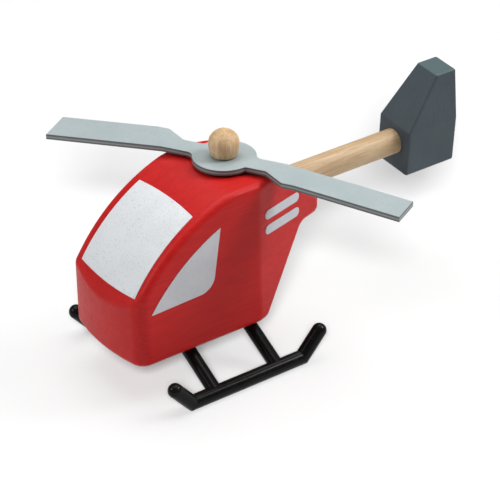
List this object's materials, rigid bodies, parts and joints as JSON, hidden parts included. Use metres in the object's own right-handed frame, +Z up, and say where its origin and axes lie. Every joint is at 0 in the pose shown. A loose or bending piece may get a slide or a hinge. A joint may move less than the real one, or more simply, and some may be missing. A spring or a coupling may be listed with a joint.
{
  "type": "toy helicopter",
  "caption": "Wooden toy helicopter with a painted body block, dowel tail boom, block fin, skids and a rotor that spins on a pin under a round knob.",
  "frame": {"origin": "on the surface that the skids stand on, under the middle of the toy's outline", "axes": "+Z up, -Y to the nose, +X to the toy's left"},
  "size_m": [0.1636, 0.1904, 0.1049],
  "materials": {
    "red_paint": "satin red stain and paint over wood",
    "silver_paint": "satin silver-grey print",
    "grey_paint": "satin blue-grey paint over thin plywood",
    "slate_paint": "satin slate paint over wood",
    "bare_wood": "sanded, lightly waxed",
    "black_plastic": "semi-gloss moulded",
    "washer_plastic": "matte",
    "screw_steel": "zinc plated"
  },
  "bodies": {
    "airframe": {"body_block": "red_paint", "windscreen": "silver_paint", "side_window_left": "silver_paint", "side_window_right": "silver_paint", "stripe_upper_left": "silver_paint", "stripe_upper_right": "silver_paint", "stripe_lower_left": "silver_paint", "stripe_lower_right": "silver_paint", "tail_boom": "bare_wood", "tail_fin": "slate_paint", "rotor_knob": "bare_wood", "rotor_pin": "bare_wood", "rotor_washer": "washer_plastic", "gear_plate": "black_plastic", "gear_screws": "screw_steel", "skid_left": "black_plastic", "skid_right": "black_plastic", "strut_front_left": "black_plastic", "strut_front_right": "black_plastic", "strut_rear_left": "black_plastic", "strut_rear_right": "black_plastic"},
    "rotor": {"rotor": "grey_paint"}
  },
  "joints": [
    {"name": "rotor_spin", "type": "hinge", "parent": "airframe", "child": "rotor", "pos_m": [0, -0.028, 0.09085], "axis": [0, 0, 1], "continuous": true}
  ]
}
